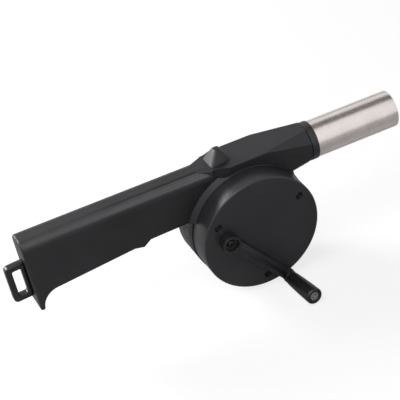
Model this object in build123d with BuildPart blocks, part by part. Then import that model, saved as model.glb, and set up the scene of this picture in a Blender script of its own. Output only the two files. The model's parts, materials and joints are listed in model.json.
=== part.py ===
from build123d import *
from math import acos, atan2, cos, degrees, hypot, pi, radians, sin, sqrt, tan
import os

# A hand crank charcoal blower: a moulded case whose handle, round fan drum and nozzle housing
# are one form in two halves, a round gear cover with a crank, and a steel blow tube.
# The origin is the centre of the outlet mouth. +X is the way the air leaves, +Z is up and
# the crank is on the -Y side. The two halves of the case meet in the plane Y = 0.

os.makedirs("parts", exist_ok=True)

# ---- driving sizes, mm. Heights and places called x and z are from the drum's axis.

# fits
snug = 0.05  # radial, between pieces that don't turn on each other
running = 0.06  # radial, between a shaft and its bush
end_float = 0.3  # along an axis, between a turning piece and what is beside it

# blow tube, and the collar that it is pressed over
tube_od = 24.5
tube_wall = 0.6
tube_seen = 58.6
collar_ring = 4.6
collar_proud = 0.5
collar_shadow = 0.6
collar_bore_r = 9.9
collar_tail_r = 10.9
collar_tail = 8.0
collar_rib_r = 11.7
collar_rib = 1.5
collar_rib_back = 3.0
spigot_length = 15.0

# case
drum_to_collar = 53.6
tube_height = 34.4
case_r = 40.5
case_wall = 2.2
cover_seat = 9.0
housing_half = 12.4
housing_start = -20.0
facet_start = 17.0
facet_first = 0.6

# handle
handle_half = 9.5
handle_rear = -148.0
handle_lean = 2.9
handle_depth = 90.0
handle_top_round = 6.5
handle_low_round = 1.4
throat_z = 15.4
throat_fall = 1.0
throat_front = -28.0
throat_end = -67.0
stop_x = -72.0
stop_z = 10.7
grip_start = -78.5
grip_z = 12.1
grip_rear = -130.0
grip_rear_z = 7.3
pommel_x = -142.0
pommel_z = -5.2
pommel_round = 1.3
flare_in = 2.4
flare_drop = 4.6

# thumb ramp on top, where the handle meets the nozzle housing
ramp_rear = -29.5
ramp_shoulder = -19.5
ramp_front = -4.7
ramp_half = 6.9
ramp_tail_half = 2.2
ramp_root = 2.3
ramp_height = 8.4
ramp_crest_rear = -13.2
ramp_crest_front = -10.0
ramp_crest_half = 3.0

# hanging loop
loop_reach = 12.6
loop_bar = 4.0
loop_root_bar = 2.6
loop_thick = 4.6
loop_height = 26.8
loop_middle = 16.6
loop_round = 2.8
loop_hole_round = 1.2
loop_neck = 12.0
loop_foot = 17.0
loop_foot_thick = 2.0
loop_neck_length = 4.4
loop_break = 0.8
loop_gap = 0.1

# gear cover
cover_r = 40.0
cover_depth = 18.0
cover_wall = 2.5
cover_edge = 1.0
pocket_gap = 1.3
screw_circle_r = 33.0
screw_first = 30.0
screw_count = 3
screw_hole_r = 2.65
screw_sink = 5.0
screw_tunnel_wall = 1.25
screw_boss_r = 3.0
screw_r = 1.3
screw_head_r = 2.45
screw_head = 2.0
screw_slot = 0.7
screw_slot_half = 1.6
screw_reach = 8.0
handle_screw_spots = ((-58.0, 31.0), (-124.0, 28.0))
handle_screw_sink = 3.4
handle_screw_reach = 6.0

# crank
crank_x = -23.7
crank_z = 5.3
crank_radius = 57.0
crank_angle = -50.0
crank_shaft_r = 3.0
crank_flat = 2.2
arm_back_gap = 0.9
arm_thick = 5.2
arm_hub_half = 4.3
arm_end_half = 3.4
arm_rim = 1.2
arm_channel = 1.7
hub_r = 5.6
hub_proud = 0.8
hub_recess_r = 4.1
hub_recess = 3.4
hub_floor = 1.0
crank_screw_reach = 6.0
bush_wall = 1.5
bush_length = 5.8
bush_flange = 0.6
bush_flange_r = 5.4
crank_boss_wall = 2.0

# knob
knob_length = 26.5
knob_base_r = 4.6
knob_end_r = 5.5
knob_round = 1.3
knob_recess_r = 3.3
knob_recess = 2.4
knob_lean = 6.0
pin_r = 2.0
pin_head_r = 2.9
pin_head = 1.4
pin_depth = 4.0
pin_boss_r = 4.3
pin_boss = 1.0

# gear train
gear_module = 0.8
pressure_angle = 25.0
addendum = 0.9
dedendum = 1.2
backlash = 0.12
crank_teeth = 20
pinion_teeth = 10
wheel_teeth = 32
first_bearing = 10.0
gear_face = 3.2
gear_space = 0.7
axle_r = 1.5
gear_collar_r = 2.6
axle_boss_r = 3.0
axle_boss = 3.1
axle_socket = 1.6
web_thin = 0.9
web_inner = 5.6
web_rim = 2.4

# fan
fan_r = 28.5
fan_eye_r = 11.0
fan_hub_r = 4.6
fan_disc = 1.4
fan_gap = 2.4
blade_count = 12
blade_height = 10.5
blade_wall = 1.2
blade_sweep = 30.0
fan_bush_wall = 1.2
fan_bush_length = 4.0
fan_pad_wall = 2.0
rear_cap = 0.8

# intake grille
grille_hub_r = 7.0
grille_slot = 2.6
grille_bar = 1.8
grille_rings = 4
grille_spokes = 6
grille_spoke = 2.4

# ---- places that follow from them
drum_x = -(drum_to_collar + tube_seen)
drum_z = -tube_height
tube_r = tube_od / 2
tube_bore_r = tube_r - tube_wall
case_top = tube_height + housing_half
case_front = drum_to_collar - collar_ring - collar_shadow
duct_half = housing_half - case_wall
duct_end = case_front - collar_tail
duct_wide = sqrt(case_r**2 - (tube_height - duct_half) ** 2) + case_wall
corner_cut = housing_half * (2 - sqrt(2))
plate_back = cover_seat - case_wall
cover_face = cover_seat + cover_depth
cover_inside = cover_face - cover_wall
cover_boss_end = cover_inside - axle_boss
head_seat = cover_face - screw_sink
arm_back = cover_face + arm_back_gap
arm_front = arm_back + arm_thick
hub_front = arm_front + hub_proud
hub_floor_top = hub_front - hub_recess
shaft_end = hub_floor_top - hub_floor
fan_bush_r = axle_r + running + fan_bush_wall
crank_bush_r = crank_shaft_r + running + bush_wall
fan_front = plate_back - fan_gap
rear_bush_end = housing_half - rear_cap
rear_hub_end = rear_bush_end - fan_bush_length
handle_seat = handle_half - handle_screw_sink
arm_dir = (cos(radians(crank_angle)), sin(radians(crank_angle)))
crank_spot = (crank_x, crank_z)
pin_spot = (crank_x + crank_radius * arm_dir[0], crank_z + crank_radius * arm_dir[1])
first_step = gear_module * (crank_teeth + pinion_teeth) / 2
train_step = gear_module * (wheel_teeth + pinion_teeth) / 2
first_spot = (
    crank_x + first_step * cos(radians(first_bearing)),
    crank_z + first_step * sin(radians(first_bearing)),
)
# the second axle lies one step from the first and one from the fan's shaft on the drum's axis
first_reach = hypot(*first_spot)
second_bearing = atan2(first_spot[1], first_spot[0]) - acos(first_reach / (2 * train_step))
second_spot = (train_step * cos(second_bearing), train_step * sin(second_bearing))
rear_tilt = atan2(handle_lean, case_top - pommel_z)
screw_spots = [
    (screw_circle_r * cos(radians(a)), screw_circle_r * sin(radians(a)))
    for a in (screw_first + 360 * n / screw_count for n in range(screw_count))
]

# side: local x is +X, local y is +Z, the normal is -Y, so offset(d) is the plane Y = -d.
side = Plane(origin=(drum_x, 0, drum_z), x_dir=(1, 0, 0), z_dir=(0, -1, 0))
# tube_side is the same with its origin on the tube's axis, beside the drum's axis.
tube_side = Plane(origin=(drum_x, 0, 0), x_dir=(1, 0, 0), z_dir=(0, -1, 0))
# along: across the tube's axis, local x is +Y, local y is +Z, the normal is +X.
along = Plane(origin=(drum_x, 0, 0), x_dir=(0, 1, 0), z_dir=(1, 0, 0))
# arm: as side, with its origin on the crank's axis and local x towards the knob.
arm = Plane(
    origin=(drum_x + crank_x, 0, drum_z + crank_z),
    x_dir=(arm_dir[0], 0, arm_dir[1]),
    z_dir=(0, -1, 0),
)
# rear: on the slanted end of the handle, local x leaves it, local y runs up it.
rear = Plane(
    origin=(
        drum_x + handle_rear + handle_lean * (case_top - loop_middle) / (case_top - pommel_z),
        0,
        drum_z + loop_middle,
    ),
    x_dir=(-cos(rear_tilt), 0, -sin(rear_tilt)),
    z_dir=(0, 1, 0),
)
# pin: on the arm's front face at the knob, its normal is the knob's leaning axis.
lean = radians(knob_lean)
pin = Plane(
    origin=(drum_x + pin_spot[0], -arm_front, drum_z + pin_spot[1]),
    x_dir=(arm_dir[0], 0, arm_dir[1]),
    z_dir=(-arm_dir[1] * sin(lean), -cos(lean), arm_dir[0] * sin(lean)),
)


def level(step):
    """Back face of the gears at a step of the train, from the parting plane."""
    return cover_seat + end_float + gear_space - end_float + step * (gear_face + gear_space)


def save(piece, name):
    piece.part.label = name
    export_step(piece.part, f"parts/{name}.step")


# ---- case, both halves as one form
def octagon(cut, x):
    """Section of the nozzle housing at x, a square with its corners cut off."""
    with BuildSketch(along.offset(x)) as section:
        Rectangle(2 * housing_half, 2 * housing_half)
        chamfer(section.vertices(), cut)
    return section.sketch


with BuildSketch(side) as handle_outline:
    with BuildLine():
        Polyline(
            (ramp_front, case_top),
            (handle_rear, case_top),
            (handle_rear + handle_lean, pommel_z),
            (pommel_x, pommel_z),
        )
        flare = ThreePointArc(
            (pommel_x, pommel_z),
            (pommel_x + flare_in, grip_rear_z - flare_drop),
            (grip_rear, grip_rear_z),
        )
        Polyline(
            flare @ 1,
            (grip_start, grip_z),
            (stop_x, stop_z),
            (throat_end, throat_z - throat_fall),
            (throat_front, throat_z),
            (ramp_front, throat_z),
            (ramp_front, case_top),
        )
    make_face()

with BuildSketch(along.offset(handle_rear)) as handle_section:
    with Locations((0, housing_half - handle_depth / 2)):
        Rectangle(2 * handle_half, handle_depth)
    fillet(handle_section.vertices().group_by(Axis.Z)[-1], handle_top_round)

with BuildPart() as handle:
    extrude(handle_outline.sketch, amount=handle_half, both=True)
    extrude(handle_section.sketch, amount=-handle_rear, mode=Mode.INTERSECT)
    corners = handle.edges().filter_by(Axis.Y).group_by(Axis.Z)[0]
    fillet(corners, pommel_round)
    low = handle.edges().filter_by_position(Axis.Z, drum_z - 40, drum_z + throat_z + 0.1)
    fillet(low.filter_by(Plane.XZ) - low.filter_by(Axis.Y), handle_low_round)

with BuildSketch(side) as hollow_outline:
    add(handle_outline.sketch_local)
    offset(amount=-case_wall, kind=Kind.INTERSECTION)

with BuildPart() as hollow:
    extrude(hollow_outline.sketch, amount=handle_half - case_wall, both=True)
    crown = hollow.edges().filter_by(Axis.X).group_by(Axis.Z)[-1]
    fillet(crown, handle_top_round - case_wall)
    with BuildSketch(side.offset(-handle_half)):
        Circle(cover_r + pocket_gap + case_wall)
    extrude(amount=2 * handle_half, mode=Mode.SUBTRACT)

with BuildPart() as housing:
    extrude(octagon(facet_first, housing_start), amount=facet_start - housing_start)
    loft([octagon(facet_first, facet_start), octagon(corner_cut, case_front)], ruled=True)

ramp_base = Plane(origin=(drum_x, 0, drum_z + case_top - ramp_root))
with BuildPart() as ramp:
    with BuildSketch(ramp_base):
        Polygon(
            (ramp_rear, ramp_tail_half),
            (ramp_rear, -ramp_tail_half),
            (ramp_shoulder, -ramp_half),
            (ramp_front, -ramp_half),
            (ramp_front, ramp_half),
            (ramp_shoulder, ramp_half),
            align=None,
        )
    with BuildSketch(ramp_base.offset(ramp_root + ramp_height)):
        Polygon(
            (ramp_crest_rear, ramp_crest_half / 2),
            (ramp_crest_rear, -ramp_crest_half / 2),
            (ramp_crest_rear + snug, -ramp_crest_half),
            (ramp_crest_front, -ramp_crest_half),
            (ramp_crest_front, ramp_crest_half),
            (ramp_crest_rear + snug, ramp_crest_half),
            align=None,
        )
    loft(ruled=True)

with BuildPart() as case:
    add(handle.part)
    add(housing.part)
    add(ramp.part)
    with BuildSketch(side.offset(-housing_half)):
        Circle(case_r)
    extrude(amount=housing_half + cover_seat)
    # room for the gear cover in front of its seat
    with BuildSketch(side.offset(cover_seat)):
        Circle(cover_r + pocket_gap)
    extrude(amount=housing_half, mode=Mode.SUBTRACT)
    # fan chamber
    with BuildSketch(side.offset(case_wall - housing_half)):
        Circle(case_r - case_wall)
    extrude(amount=housing_half - case_wall + plate_back, mode=Mode.SUBTRACT)
    # air duct from the chamber to the collar, deeper where it has left the drum
    with BuildSketch(side.offset(case_wall - housing_half)):
        with Locations((duct_end / 2, tube_height)):
            Rectangle(duct_end, 2 * duct_half)
    extrude(amount=duct_half + plate_back, mode=Mode.SUBTRACT)
    with BuildSketch(side):
        with Locations(((duct_wide + duct_end) / 2, tube_height)):
            Rectangle(duct_end - duct_wide, 2 * duct_half)
    extrude(amount=duct_half, mode=Mode.SUBTRACT)
    # seat of the collar's tail, with the groove that traps its rib
    with BuildSketch(along.offset(duct_end)):
        Circle(collar_tail_r + snug)
    extrude(amount=collar_tail, mode=Mode.SUBTRACT)
    with BuildSketch(along.offset(case_front - collar_rib_back - collar_rib - snug)):
        Circle(collar_rib_r + snug)
    extrude(amount=collar_rib + 2 * snug, mode=Mode.SUBTRACT)
    add(hollow.part, mode=Mode.SUBTRACT)
    # slot in the rear end for the neck of the hanging loop
    with BuildSketch(rear):
        Rectangle(3 * case_wall, loop_neck + 2 * loop_gap)
    extrude(amount=loop_thick / 2 + loop_gap, both=True, mode=Mode.SUBTRACT)

# ---- front half, on the crank side
with BuildPart() as front_shell:
    add(case.part)
    split(bisect_by=Plane.XZ, keep=Keep.TOP)
    # bosses of the handle screws, with blind holes from the parting plane
    with BuildSketch(side):
        with Locations(*handle_screw_spots):
            Circle(screw_boss_r)
    extrude(amount=handle_half - case_wall / 2)
    with BuildSketch(side):
        with Locations(*handle_screw_spots):
            Circle(screw_r + snug)
    extrude(amount=handle_screw_reach + end_float, mode=Mode.SUBTRACT)
    # pad for the front bush of the fan
    with BuildSketch(side.offset(cover_seat - fan_bush_length)):
        Circle(fan_bush_r + fan_pad_wall)
    extrude(amount=fan_bush_length - case_wall / 2)
    with BuildSketch(side):
        Circle(fan_bush_r + snug)
        with Locations(*screw_spots):
            Circle(screw_r + snug)
    extrude(amount=cover_seat, mode=Mode.SUBTRACT)
    # blind sockets for the two gear axles
    with BuildSketch(side.offset(cover_seat)):
        with Locations(first_spot, second_spot):
            Circle(axle_r + snug)
    extrude(amount=-axle_socket, mode=Mode.SUBTRACT)
save(front_shell, "front_shell")

# ---- rear half, with the intake
with BuildPart() as rear_shell:
    add(case.part)
    split(bisect_by=Plane.XZ, keep=Keep.BOTTOM)
    # bosses of the handle screws, and in the chamber those of the long cover screws
    with BuildSketch(side):
        with Locations(*handle_screw_spots):
            Circle(screw_boss_r + screw_head_r - screw_r)
    extrude(amount=case_wall / 2 - handle_half)
    with BuildSketch(side.offset(plate_back)):
        with Locations(*screw_spots):
            Circle(screw_boss_r)
    extrude(amount=case_wall / 2 - housing_half - plate_back)
    with BuildSketch(side.offset(-screw_reach - end_float)):
        with Locations(*screw_spots):
            Circle(screw_r + snug)
    extrude(amount=screw_reach + cover_seat, mode=Mode.SUBTRACT)
    # sunk heads of the handle screws
    with BuildSketch(side.offset(-handle_half)):
        with Locations(*handle_screw_spots):
            Circle(screw_hole_r)
    extrude(amount=handle_screw_sink, mode=Mode.SUBTRACT)
    with BuildSketch(side.offset(-handle_half)):
        with Locations(*handle_screw_spots):
            Circle(screw_r + snug)
    extrude(amount=handle_half, mode=Mode.SUBTRACT)
    # intake grille: rings of slots between spokes, round a hub that holds the rear bush
    with BuildSketch(side.offset(-housing_half)):
        for ring in reversed(range(grille_rings)):
            slot_inner = grille_hub_r + grille_bar + ring * (grille_slot + grille_bar)
            Circle(slot_inner + grille_slot)
            Circle(slot_inner, mode=Mode.SUBTRACT)
        with PolarLocations(0, grille_spokes):
            Rectangle(case_r, grille_spoke, align=(Align.MIN, Align.CENTER), mode=Mode.SUBTRACT)
    extrude(amount=case_wall, mode=Mode.SUBTRACT)
    with BuildSketch(side.offset(-rear_hub_end)):
        Circle(fan_bush_r + fan_pad_wall)
    extrude(amount=-(housing_half - case_wall / 2 - rear_hub_end))
    with BuildSketch(side.offset(-rear_bush_end)):
        Circle(fan_bush_r + snug)
    extrude(amount=fan_bush_length, mode=Mode.SUBTRACT)
save(rear_shell, "rear_shell")

# ---- gear cover
with BuildPart() as gear_cover:
    with BuildSketch(side.offset(cover_seat)):
        Circle(cover_r)
    extrude(amount=cover_depth)
    fillet(gear_cover.edges().sort_by(Axis.Y)[0], cover_edge)
    with BuildSketch(side.offset(cover_seat)):
        Circle(cover_r - cover_wall)
    extrude(amount=cover_depth - cover_wall, mode=Mode.SUBTRACT)
    # posts of the three long screws, wider round the sunk heads
    with BuildSketch(side.offset(cover_seat)):
        with Locations(*screw_spots):
            Circle(screw_boss_r)
    extrude(amount=cover_depth - cover_wall / 2)
    with BuildSketch(side.offset(head_seat - screw_head / 2)):
        with Locations(*screw_spots):
            Circle(screw_hole_r + screw_tunnel_wall)
    extrude(amount=screw_sink - cover_wall / 2)
    # boss of the crank's bush, and bosses that hold the gear axles
    with BuildSketch(side.offset(cover_face - bush_length)):
        with Locations(crank_spot):
            Circle(crank_bush_r + crank_boss_wall)
    extrude(amount=bush_length - cover_wall / 2)
    with BuildSketch(side.offset(cover_boss_end)):
        with Locations(first_spot, second_spot):
            Circle(axle_boss_r)
    extrude(amount=cover_inside + cover_wall / 2 - cover_boss_end)
    with BuildSketch(side.offset(cover_boss_end)):
        with Locations(first_spot, second_spot):
            Circle(axle_r + snug)
    extrude(amount=axle_boss, mode=Mode.SUBTRACT)
    with BuildSketch(side):
        with Locations(crank_spot):
            Circle(crank_bush_r + snug)
        with Locations(*screw_spots):
            Circle(screw_r + snug)
    extrude(amount=cover_face, mode=Mode.SUBTRACT)
    with BuildSketch(side.offset(head_seat)):
        with Locations(*screw_spots):
            Circle(screw_hole_r)
    extrude(amount=screw_sink, mode=Mode.SUBTRACT)
save(gear_cover, "gear_cover")

# ---- collar and blow tube, turned about the tube's axis
with BuildPart() as nozzle_collar:
    tail_start = duct_end + snug
    rib_end = case_front - collar_rib_back
    ring_start = drum_to_collar - collar_ring
    ring_r = tube_r + collar_proud
    spigot_r = tube_bore_r - snug
    with BuildSketch(tube_side):
        with BuildLine():
            Polyline(
                (tail_start, collar_bore_r),
                (tail_start, collar_tail_r),
                (rib_end - collar_rib, collar_tail_r),
                (rib_end - collar_rib, collar_rib_r),
                (rib_end, collar_rib_r),
                (rib_end, collar_tail_r),
                (ring_start, collar_tail_r),
                (ring_start, ring_r),
                (drum_to_collar, ring_r),
                (drum_to_collar, spigot_r),
                (drum_to_collar + spigot_length, spigot_r),
                (drum_to_collar + spigot_length, collar_bore_r),
                (tail_start, collar_bore_r),
            )
        make_face()
    revolve(axis=Axis.X)
    rims = nozzle_collar.edges().filter_by(GeomType.CIRCLE).group_by(SortBy.RADIUS)[-1]
    fillet(rims, collar_proud / 2)
save(nozzle_collar, "nozzle_collar")

with BuildPart() as blow_tube:
    with BuildSketch(along.offset(drum_to_collar)):
        Circle(tube_r)
        Circle(tube_bore_r, mode=Mode.SUBTRACT)
    extrude(amount=tube_seen)
    mouth = blow_tube.edges().group_by(Axis.X)[-1]
    fillet(mouth, tube_wall / 3)
save(blow_tube, "blow_tube")

# ---- hanging loop, its neck held in the slot by a foot inside the handle
with BuildPart() as hang_loop:
    with BuildSketch(rear) as loop_face:
        with Locations(((loop_gap + loop_reach) / 2, 0)):
            Rectangle(loop_reach - loop_gap, loop_height)
        fillet(loop_face.vertices().sort_by(Axis.X)[:2], loop_round)
        with Locations(((loop_root_bar + loop_reach - loop_bar) / 2, 0)):
            RectangleRounded(
                loop_reach - loop_bar - loop_root_bar,
                loop_height - 2 * loop_bar,
                loop_hole_round,
                mode=Mode.SUBTRACT,
            )
        with Locations((loop_gap - loop_neck_length / 2, 0)):
            Rectangle(loop_neck_length, loop_neck)
        with Locations((loop_gap - loop_neck_length - loop_foot_thick / 2, 0)):
            Rectangle(loop_foot_thick, loop_foot)
    extrude(amount=loop_thick / 2, both=True)
    rims = hang_loop.edges().filter_by_position(Axis.Y, loop_thick / 2, loop_thick / 2)
    chamfer(rims.sort_by(Axis.X)[:3], loop_break)
save(hang_loop, "hang_loop")


# ---- crank: a channelled arm with a hub at one end and the knob's pin boss at the other
def arm_shape(depth, rim):
    """The arm's tapered outline at a depth, drawn in by a rim."""
    with BuildSketch(arm.offset(depth)) as shape:
        Circle(arm_hub_half - rim)
        with Locations((crank_radius, 0)):
            Circle(arm_end_half - rim)
        make_hull(shape.edges())
    return shape.sketch


with BuildPart() as arm_hub:
    with BuildSketch(arm.offset(arm_back)):
        Circle(hub_r)
    extrude(amount=hub_front - arm_back)
    fillet(arm_hub.edges().group_by(Axis.Y)[0], arm_rim / 3)

with BuildPart() as crank_arm:
    extrude(arm_shape(arm_back, 0), amount=arm_thick)
    extrude(arm_shape(arm_front, arm_rim), amount=-arm_channel, mode=Mode.SUBTRACT)
    extrude(arm_shape(arm_back, arm_rim), amount=arm_channel, mode=Mode.SUBTRACT)
    add(arm_hub.part)
    with BuildSketch(arm.offset(arm_back)):
        with Locations((crank_radius, 0)):
            Circle(pin_boss_r)
    extrude(amount=arm_thick)
    with BuildSketch(pin.offset(-arm_thick / 2)):
        Circle(pin_boss_r)
    extrude(amount=arm_thick / 2 + pin_boss)
    with BuildSketch(arm.offset(hub_front)):
        Circle(hub_recess_r)
    extrude(amount=-hub_recess, mode=Mode.SUBTRACT)
    # bore for the shaft, with its flat, and the hole of the crank screw
    with BuildSketch(arm.offset(arm_back)):
        Circle(crank_shaft_r + snug)
        with Locations((crank_flat + snug, 0)):
            Rectangle(
                crank_shaft_r,
                2 * hub_r,
                align=(Align.MIN, Align.CENTER),
                mode=Mode.SUBTRACT,
            )
    extrude(amount=shaft_end - arm_back + end_float, mode=Mode.SUBTRACT)
    with BuildSketch(arm.offset(arm_back)):
        Circle(screw_r + snug)
    extrude(amount=arm_thick, mode=Mode.SUBTRACT)
    with BuildSketch(pin.offset(-pin_depth)):
        Circle(pin_r + snug)
    extrude(amount=pin_depth + pin_boss, mode=Mode.SUBTRACT)
save(crank_arm, "crank_arm")

with BuildPart() as crank_bush:
    with BuildSketch(arm.offset(cover_face - bush_length)):
        Circle(crank_bush_r)
    extrude(amount=bush_length)
    with BuildSketch(arm.offset(cover_face)):
        Circle(bush_flange_r)
    extrude(amount=bush_flange)
    with BuildSketch(arm):
        Circle(crank_shaft_r + running)
    extrude(amount=arm_front, mode=Mode.SUBTRACT)
save(crank_bush, "crank_bush")

with BuildPart() as crank_shaft:
    with BuildSketch(arm.offset(level(2))):
        Circle(crank_shaft_r)
    extrude(amount=shaft_end - level(2))
    # the flat that the arm's hub holds
    with BuildSketch(arm.offset(arm_back)):
        with Locations((crank_flat, 0)):
            Rectangle(crank_shaft_r, 2 * hub_r, align=(Align.MIN, Align.CENTER))
    extrude(amount=hub_front - arm_back, mode=Mode.SUBTRACT)
    with BuildSketch(arm.offset(shaft_end)):
        Circle(screw_r + snug)
    extrude(amount=-crank_screw_reach - end_float, mode=Mode.SUBTRACT)
save(crank_shaft, "crank_shaft")


def screw(place, seat, shank, head_r, head_h, turned=1):
    """A cross-slotted pan head on the plane place, its shank going back along the normal."""
    with BuildPart() as body:
        with BuildSketch(place.offset(seat)):
            Circle(head_r)
        extrude(amount=head_h)
        fillet(body.edges().filter_by(GeomType.CIRCLE), head_h / 4)
        with BuildSketch(place.offset(seat + head_h)):
            Rectangle(2 * screw_slot_half, screw_slot)
            Rectangle(screw_slot, 2 * screw_slot_half)
        extrude(amount=-head_h / 2, mode=Mode.SUBTRACT)
        with BuildSketch(place.offset(seat + head_h / 4)):
            Circle(screw_r)
        extrude(amount=-shank - head_h / 4)
    return body.part


with BuildPart() as crank_screw:
    add(screw(arm, hub_floor_top, hub_floor + crank_screw_reach, screw_head_r, screw_head))
save(crank_screw, "crank_screw")

# ---- knob, free to turn on a shouldered screw along its leaning axis
knob_start = pin_boss + end_float
knob_end = knob_start + knob_length
knob_profile = Plane(origin=pin.origin, x_dir=pin.x_dir, z_dir=pin.x_dir.cross(pin.z_dir))
with BuildPart() as crank_knob:
    with BuildSketch(knob_profile) as knob_section:
        with BuildLine():
            Polyline(
                (pin_r + running, knob_start),
                (knob_base_r, knob_start),
                (knob_end_r, knob_end),
                (knob_recess_r, knob_end),
                (knob_recess_r, knob_end - knob_recess),
                (pin_r + running, knob_end - knob_recess),
                close=True,
            )
        make_face()
    revolve(axis=Axis(pin.origin, pin.z_dir))
    outer = crank_knob.edges().filter_by(GeomType.CIRCLE).sort_by(SortBy.RADIUS)[-2:]
    fillet(outer, knob_round)
save(crank_knob, "crank_knob")

with BuildPart() as knob_screw:
    with BuildSketch(pin.offset(end_float - pin_depth)):
        Circle(pin_r)
    extrude(amount=knob_end - knob_recess + pin_depth)
    with BuildSketch(pin.offset(knob_end - knob_recess + end_float)):
        Circle(pin_head_r)
    extrude(amount=pin_head)
    with BuildSketch(pin.offset(knob_end - knob_recess + end_float + pin_head)):
        Rectangle(2 * screw_slot_half, screw_slot)
        Rectangle(screw_slot, 2 * screw_slot_half)
    extrude(amount=-pin_head / 2, mode=Mode.SUBTRACT)
save(knob_screw, "knob_screw")


# ---- gear train
def involute(base_r, radius, half_angle):
    """Point of a tooth's flank at a radius, half_angle from its middle line at the base."""
    roll = sqrt(max((radius / base_r) ** 2 - 1, 0))
    turn = half_angle - (roll - atan2(roll, 1))
    return (radius * cos(turn), radius * sin(turn))


def gear_face_shape(teeth, place, first_tooth):
    """A spur gear's outline on the plane place, with a tooth's middle at first_tooth degrees."""
    pitch_r = gear_module * teeth / 2
    base_r = pitch_r * cos(radians(pressure_angle))
    tip_r = pitch_r + addendum * gear_module
    root_r = pitch_r - dedendum * gear_module
    start_r = max(base_r, root_r)
    spread = tan(radians(pressure_angle)) - radians(pressure_angle)
    half_angle = (pi * gear_module / 2 - backlash) / (2 * pitch_r) + spread
    low = involute(base_r, start_r, half_angle)
    middle = involute(base_r, (start_r + tip_r) / 2, half_angle)
    high = involute(base_r, tip_r, half_angle)
    foot_turn = atan2(low[1], low[0])
    foot = ((root_r - snug) * cos(foot_turn), (root_r - snug) * sin(foot_turn))
    with BuildSketch() as tooth:
        with BuildLine():
            Polyline((0, 0), foot, low)
            ThreePointArc(low, middle, high)
            ThreePointArc(high, (tip_r, 0), (high[0], -high[1]))
            ThreePointArc((high[0], -high[1]), (middle[0], -middle[1]), (low[0], -low[1]))
            Polyline((low[0], -low[1]), (foot[0], -foot[1]), (0, 0))
        make_face()
    with BuildSketch(place) as shape:
        Circle(root_r)
        with PolarLocations(0, teeth, start_angle=first_tooth):
            add(tooth.sketch)
    return shape.sketch


def bearing_of(start, end):
    return degrees(atan2(end[1] - start[1], end[0] - start[0]))


def at(spot, depth):
    """The plane like side at a depth, with its origin on the axis through spot."""
    return Plane(origin=side.offset(depth).from_local_coords((*spot, 0)), x_dir=side.x_dir, z_dir=side.z_dir)


half_tooth = 180 / pinion_teeth
first_mesh = bearing_of(crank_spot, first_spot)
second_mesh = bearing_of(first_spot, second_spot)
fan_mesh = bearing_of(second_spot, (0, 0))

with BuildPart() as crank_gear:
    extrude(gear_face_shape(crank_teeth, at(crank_spot, level(2)), first_mesh), amount=gear_face)
    with BuildSketch(arm.offset(level(2))):
        Circle(crank_shaft_r + snug)
    extrude(amount=gear_face, mode=Mode.SUBTRACT)
save(crank_gear, "crank_gear")


def compound_gear(spot, step, driven_mesh, driving_mesh, stop):
    """A wheel at a level with its pinion in front of it, driven at the pinion."""
    with BuildPart() as gear:
        wheel = gear_face_shape(wheel_teeth, at(spot, level(step)), driving_mesh)
        extrude(wheel, amount=gear_face)
        # thin web between hub and rim
        with BuildSketch(at(spot, level(step))):
            Circle(gear_module * wheel_teeth / 2 - web_rim)
            Circle(web_inner, mode=Mode.SUBTRACT)
        extrude(amount=web_thin, mode=Mode.SUBTRACT)
        with BuildSketch(at(spot, level(step) + gear_face)):
            Circle(gear_module * wheel_teeth / 2 - web_rim)
            Circle(web_inner, mode=Mode.SUBTRACT)
        extrude(amount=-web_thin, mode=Mode.SUBTRACT)
        pinion_place = at(spot, level(step) + gear_face)
        pinion = gear_face_shape(pinion_teeth, pinion_place, driven_mesh + 180 + half_tooth)
        extrude(pinion, amount=level(step + 1) + gear_face - level(step) - gear_face)
        with BuildSketch(at(spot, cover_seat + end_float)):
            Circle(gear_collar_r)
        extrude(amount=stop - end_float - cover_seat - end_float)
        with BuildSketch(at(spot, 0)):
            Circle(axle_r + running)
        extrude(amount=cover_face, mode=Mode.SUBTRACT)
    return gear


first_gear = compound_gear(first_spot, 1, first_mesh, second_mesh, cover_boss_end)
save(first_gear, "first_gear")
second_gear = compound_gear(second_spot, 0, second_mesh, fan_mesh, cover_boss_end)
save(second_gear, "second_gear")

for name, spot in (("first_axle", first_spot), ("second_axle", second_spot)):
    with BuildPart() as axle:
        with BuildSketch(at(spot, cover_seat - axle_socket + end_float / 2)):
            Circle(axle_r)
        extrude(amount=cover_inside - cover_seat + axle_socket - end_float)
        chamfer(axle.edges().filter_by(GeomType.CIRCLE), axle_r / 5)
    save(axle, name)

# ---- fan
with BuildPart() as fan_pinion:
    extrude(
        gear_face_shape(pinion_teeth, side.offset(level(0)), fan_mesh + 180 + half_tooth),
        amount=gear_face,
    )
    with BuildSketch(side.offset(cover_seat + end_float)):
        Circle(gear_collar_r)
    extrude(amount=gear_space)
    with BuildSketch(side):
        Circle(axle_r + snug)
    extrude(amount=cover_face, mode=Mode.SUBTRACT)
save(fan_pinion, "fan_pinion")

with BuildPart() as fan_shaft:
    with BuildSketch(side.offset(end_float - rear_bush_end)):
        Circle(axle_r)
    extrude(amount=rear_bush_end + level(0) + gear_face)
    chamfer(fan_shaft.edges().filter_by(GeomType.CIRCLE), axle_r / 5)
save(fan_shaft, "fan_shaft")

for name, start in (("front_fan_bush", cover_seat), ("rear_fan_bush", -rear_hub_end)):
    with BuildPart() as bush:
        with BuildSketch(side.offset(start)):
            Circle(fan_bush_r)
            Circle(axle_r + running, mode=Mode.SUBTRACT)
        extrude(amount=-fan_bush_length)
    save(bush, name)

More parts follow.
